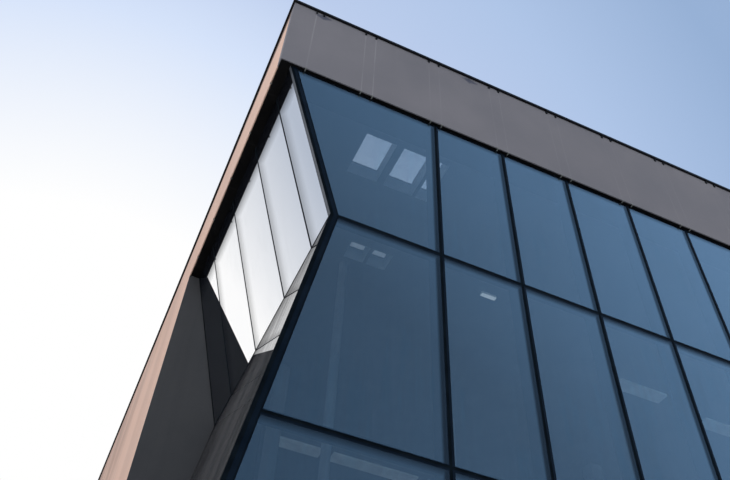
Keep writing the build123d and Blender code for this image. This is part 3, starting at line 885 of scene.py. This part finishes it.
for row, low, high in zip(LEVEL_PRINT, levels, levels[1:]):
    panes = Shape()
    foot_print, head_print = LEVEL_PRINT[row]
    before_joint, after_joint = SIDE_PRINT
    for index, corners in enumerate(front_row(low, high, EDGE_JOINT if row == "upper" else JOINT / 2)):
        if row == "ground" and all(abs(x - WIDTH / 2) < MODULE for x, z in corners):
            corners = [(x, max(z, DOOR_HEAD + JOINT / 2)) for x, z in corners]
        left_print = after_joint if index else before_joint
        printed_pane(panes, corners, (foot_print, before_joint, head_print, left_print), GLASS_Y)
    finish_piece(f"front_panes_{row}", panes, (front_glass, printed_edge),
                 (f"front_glass_{row}",))

joints = Shape()
outlines = []
for x in mullions:
    foot = DOOR_HEAD if x == mullions[BAYS // 2] else FLOOR
    outlines.append(oblong(x - JOINT / 2, x + JOINT / 2, foot, HEAD))
for z in (FOOT, MIDDLE, WAIST):
    ends = [POST + inset(z)] + mullions + [WIDTH - POST - inset(z)]
    for here, after in zip(ends, ends[1:]):
        start = here if here == ends[0] else here + JOINT / 2
        stop = after if after == ends[-1] else after - JOINT / 2
        outlines.append(oblong(start, stop, z - JOINT / 2, z + JOINT / 2))
for side, word in SIDES:
    for low, high in zip(levels, levels[1:]):
        outlines.append(post_strip(low + JOINT / 2, high - JOINT / 2, POST, POST + EDGE_JOINT, side))
for outline in outlines:
    upright_bar(joints, outline, GLASS_Y + JOINT_SINK, GLASS - JOINT_SINK)
finish_piece("front_joints", joints, joint_rubber)

for side, word in SIDES:
    cover = Shape()
    for low, high in zip(levels, levels[1:]):
        strip = post_strip(low, high, CORNER_SEAL, POST, side)
        upright_bar(cover, strip, GLASS_Y - POST_SKIN, POST_SKIN)
    finish_piece(f"{word}_post_cover", cover, printed_edge)


# Side glazing

def side_pane(shape, y0, y1, z0, z1, side, sink=0.0, thickness=GLASS):
    """Leaning pane between two y and two z, on the left (1) or the right (-1)."""
    ring = []
    for y, z in ((y0, z0), (y1, z0), (y1, z1), (y0, z1)):
        point = spot(inset(z) + sink, y, z)
        point.x *= side
        ring.append(point)
    shape.prism(ring, Vector((side * thickness, 0, 0)))


bands = {"ground": (FLOOR, FOOT), "lower": (FOOT, WAIST), "upper": (WAIST, HEAD)}
starts = [SIDE_GLASS_Y + EDGE_JOINT] + [y + SIDE_JOINT / 2 for y in side_ys]
stops = [y - SIDE_JOINT / 2 for y in side_ys] + [SIDE_END_Y - END_JOINT]
seal_place = (SIDE_SINK, GLASS - SIDE_SINK)
front_gap, back_gap = TRIM_GAPS
for side, word in SIDES:
    seals, leaning_seals = Shape(), Shape()
    for band, (low, high) in bands.items():
        low += LEVEL_SEAL if band != "ground" else 0.0
        high -= LEVEL_SEAL if band != "upper" else SOFFIT_SEAL
        panes = Shape()
        for start, stop in zip(starts, stops):
            side_pane(panes, start, stop, low, high, side)
        finish_piece(f"{word}_panes_{band}", panes, leaning_glass if band == "lower" else side_glass,
                     (f"{word}_glass_{band}",))
        between = leaning_seals if band == "lower" else seals
        for start, stop in zip([SIDE_GLASS_Y] + stops, starts + [SIDE_END_Y]):
            side_pane(between, start, stop, low, high, side, *seal_place)
    for z in (FOOT, WAIST):
        side_pane(seals, SIDE_GLASS_Y, SIDE_END_Y, z - LEVEL_SEAL, z + LEVEL_SEAL, side, *seal_place)
    finish_piece(f"{word}_joints", seals, joint_rubber)
    finish_piece(f"{word}_leaning_joints", leaning_seals, leaning_print)

    for label, finish, covered in (("trim", edge_metal, ("upper",)),
                                   ("seal", joint_rubber, ("ground", "lower"))):
        strip = Shape()
        for band in covered:
            side_pane(strip, GLASS_Y + front_gap, SIDE_GLASS_Y - back_gap, *bands[band], side,
                      -POST_SKIN, POST_SKIN)
        finish_piece(f"{word}_post_{label}", strip, finish)


# Back glazing

panes, joints = Shape(), Shape()
back_levels = (BACK_LOW, FOOT, MIDDLE, WAIST, BACK_HIGH)
back_edges = [WIDTH / 2 - BACK_HALF + MODULE * step for step in range(BACK_BAYS + 1)]
for low, high in zip(back_levels, back_levels[1:]):
    foot = low + (EDGE_JOINT if low == BACK_LOW else JOINT / 2)
    head = high - (EDGE_JOINT if high == BACK_HIGH else JOINT / 2)
    for start, stop in zip(back_edges, back_edges[1:]):
        x0 = start + (EDGE_JOINT if start == back_edges[0] else JOINT / 2)
        x1 = stop - (EDGE_JOINT if stop == back_edges[-1] else JOINT / 2)
        printed_pane(panes, oblong(x0, x1, foot, head), (SIDE_PRINT[1],) * 4, BACK_FACE_Y, -GLASS)
        for outline in (oblong(start, x0, low, high), oblong(x1, stop, low, high),
                        oblong(x0, x1, low, foot), oblong(x0, x1, head, high)):
            upright_bar(joints, outline, BACK_FACE_Y - GLASS, GLASS - JOINT_SINK)
finish_piece("back_panes", panes, (front_glass, printed_edge), ("back_glass",))
finish_piece("back_joints", joints, joint_rubber)


# Doors

handles, sill = Shape(), Shape()
bar_y = LEAF_Y - HANDLE_REACH
for pair in (-1, 1):
    for side in (-1, 1):
        x = WIDTH / 2 + pair * MODULE / 2 + side * HANDLE_ASIDE
        bar_ends = [spot(x, bar_y, z) for z in HANDLE_ENDS]
        handles.rod(*bar_ends, HANDLE_RADIUS, 16)
        for z in HANDLE_STUDS:
            handles.rod(spot(x, bar_y, z), spot(x, LEAF_Y, z), STUD_RADIUS)
finish_piece("door_handles", handles, steel, edge=STEEL_EDGE)
sill.block(spot(WIDTH / 2 - DOOR_HALF, GLASS_Y - SILL_LIP, FLOOR),
           spot(WIDTH / 2 + DOOR_HALF, LEAF_Y - SILL_GAP, FLOOR + SILL_HEIGHT))
finish_piece("door_sill", sill, steel, edge=STEEL_EDGE)


# Rooflights

def ring_of_plates(shape, low, high, thickness):
    """Four upright plates round the inside of an opening."""
    x0, x1, y0, y1 = low.x + thickness, high.x - thickness, low.y + thickness, high.y - thickness
    for near_x, far_x, near_y, far_y in ((low.x, high.x, low.y, y0), (low.x, high.x, y1, high.y),
                                         (low.x, x0, y0, y1), (x1, high.x, y0, y1)):
        shape.block(Vector((near_x, near_y, low.z)), Vector((far_x, far_y, high.z)))


linings, roof_frames = Shape(), Shape()
rim = Vector((RIM, RIM, 0))
for x, y, width, length, gap, count in ROOFLIGHTS:
    for step in range(count):
        near = x + step * (width + gap)
        for left in (near, WIDTH - near - width):
            low, high = spot(left, y, CEILING), spot(left + width, y + length, KERB_TOP)
            ring_of_plates(linings, low, high, LINING)
    total = count * width + (count - 1) * gap
    for left in (x, WIDTH - x - total):
        low = spot(left, y, ROOFLIGHT_TOP)
        high = spot(left + total, y + length, ROOFLIGHT_TOP + RIM_HEIGHT)
        ring_of_plates(roof_frames, low - rim, high + rim, RIM + RIM_LAP)
finish_piece("rooflight_linings", linings, white_lining)
finish_piece("rooflight_frames", roof_frames, dark_bars)


# Floor, light and camera

def look_from(heading, up, roll):
    """Rotation of a camera that looks along +Y, turned right by heading and up, in degrees."""
    turns = ((-heading, "Z"), (90 + up, "X"), (roll, "Z"))
    first, second, third = [Matrix.Rotation(math.radians(angle), 4, axis) for angle, axis in turns]
    return first @ second @ third


def make_floor():
    """Plain pale floor on which the building stands."""
    bpy.ops.mesh.primitive_circle_add(vertices=96, radius=160, fill_type="NGON")
    floor = bpy.context.object
    floor.name = "floor"
    finish, shader, where = start_finish("pale_floor", roughness=0.9, specular=0.1)
    cloud = noise(where, 0.2, 2.0)
    feed(shader, {"Base Color": blend(cloud, (0.66, 0.67, 0.68), (0.70, 0.71, 0.72))})
    floor.data.materials.append(finish)


def make_sun(name, towards, strength, colour, softness):
    """Soft distant lamp; towards points from the building to the lamp."""
    lamp = bpy.data.lights.new(name, "SUN")
    lamp.energy, lamp.color, lamp.angle = strength, colour, math.radians(softness)
    holder = add_object(name, lamp)
    holder.rotation_euler = Vector(towards).to_track_quat("Z", "Y").to_euler()
    holder.visible_glossy = holder.visible_transmission = False


def make_sky(light):
    """Even light for the surfaces, and a pale background, whiter towards the back, for the camera and
    glass. Only the glass sees a deeper blue in front, towards the left, and a grey to white sky at the
    far left."""
    world = bpy.data.worlds.new("sky")
    bpy.context.scene.world = world
    world.use_nodes = True
    tree = world.node_tree
    tree.nodes.clear()
    towards = place(tree, "ShaderNodeTexCoord").outputs["Generated"]
    bright = place(tree, "ShaderNodeVectorMath", {0: towards, 1: (-0.05, 0.90, 0.43)},
                   operation="DOT_PRODUCT").outputs["Value"]
    ramp = place(tree, "ShaderNodeValToRGB", {0: bright})
    stops = ((0.0, (0.33, 0.46, 0.68)), (0.54, (0.31, 0.44, 0.67)), (0.66, (0.43, 0.56, 0.80)),
             (0.75, (0.50, 0.61, 0.84)), (0.82, (0.67, 0.77, 0.96)), (0.93, (1.0, 1.0, 1.0)))
    while len(ramp.color_ramp.elements) < len(stops):
        ramp.color_ramp.elements.new(0.5)
    for element, (position, colour) in zip(ramp.color_ramp.elements, stops):
        element.position, element.color = position, (*colour, 1.0)
    parts = split(towards)
    path = place(tree, "ShaderNodeLightPath").outputs
    in_front = spread(parts[1], -0.15, -0.35)
    deep = times(in_front, spread(parts[0], 0.05, 0.65, 1.0, 0.15, smooth=False))
    mirrored = blend(deep, ramp.outputs[0], (0.17, 0.24, 0.36))
    far_left = times(spread(parts[0], -0.22, -0.45), spread(parts[1], 0.1, 0.3))
    lower = minus(parts[0], times(parts[2], 0.44))
    whiter = spread(lower, -0.828, -0.700, smooth=False)
    pale = blend(whiter, (0.465, 0.52, 0.62), (1.0, 1.0, 1.0))
    mirrored = blend(far_left, mirrored, pale)
    behind = blend(spread(bright, 0.50, 0.20), ramp.outputs[0], (0.70, 0.78, 0.92))
    shade = blend(path["Is Camera Ray"], mirrored, behind)
    kinds = ("Camera", "Glossy", "Transmission")
    seen = in_turn("MAXIMUM", [path[f"Is {kind} Ray"] for kind in kinds])
    plain = place(tree, "ShaderNodeBackground", {"Color": (1, 1, 1), "Strength": light})
    shown = place(tree, "ShaderNodeBackground", {"Color": shade, "Strength": 1.0})
    place(tree, "ShaderNodeOutputWorld",
          {"Surface": mix_surfaces(seen, plain.outputs[0], shown.outputs[0])})


make_floor()
make_sky(0.55)
make_sun("key_light", (-0.75, 0.10, 0.65), 2.0, (1.0, 0.95, 0.90), 20)
make_sun("fill_light", (0.45, -0.75, 0.50), 1.1, (1.0, 1.0, 1.0), 40)

lens = bpy.data.cameras.new("camera")
lens.lens, lens.sensor_width = 38.597, 36.0
lens.clip_start, lens.clip_end = 0.1, 1000.0
camera = add_object("camera", lens)
camera.matrix_world = Matrix.Translation((-11.652, -18.442, 1.6)) @ look_from(21.353, 49.209, 3.725)
bpy.context.scene.camera = camera
bpy.context.scene.view_settings.view_transform = "Standard"
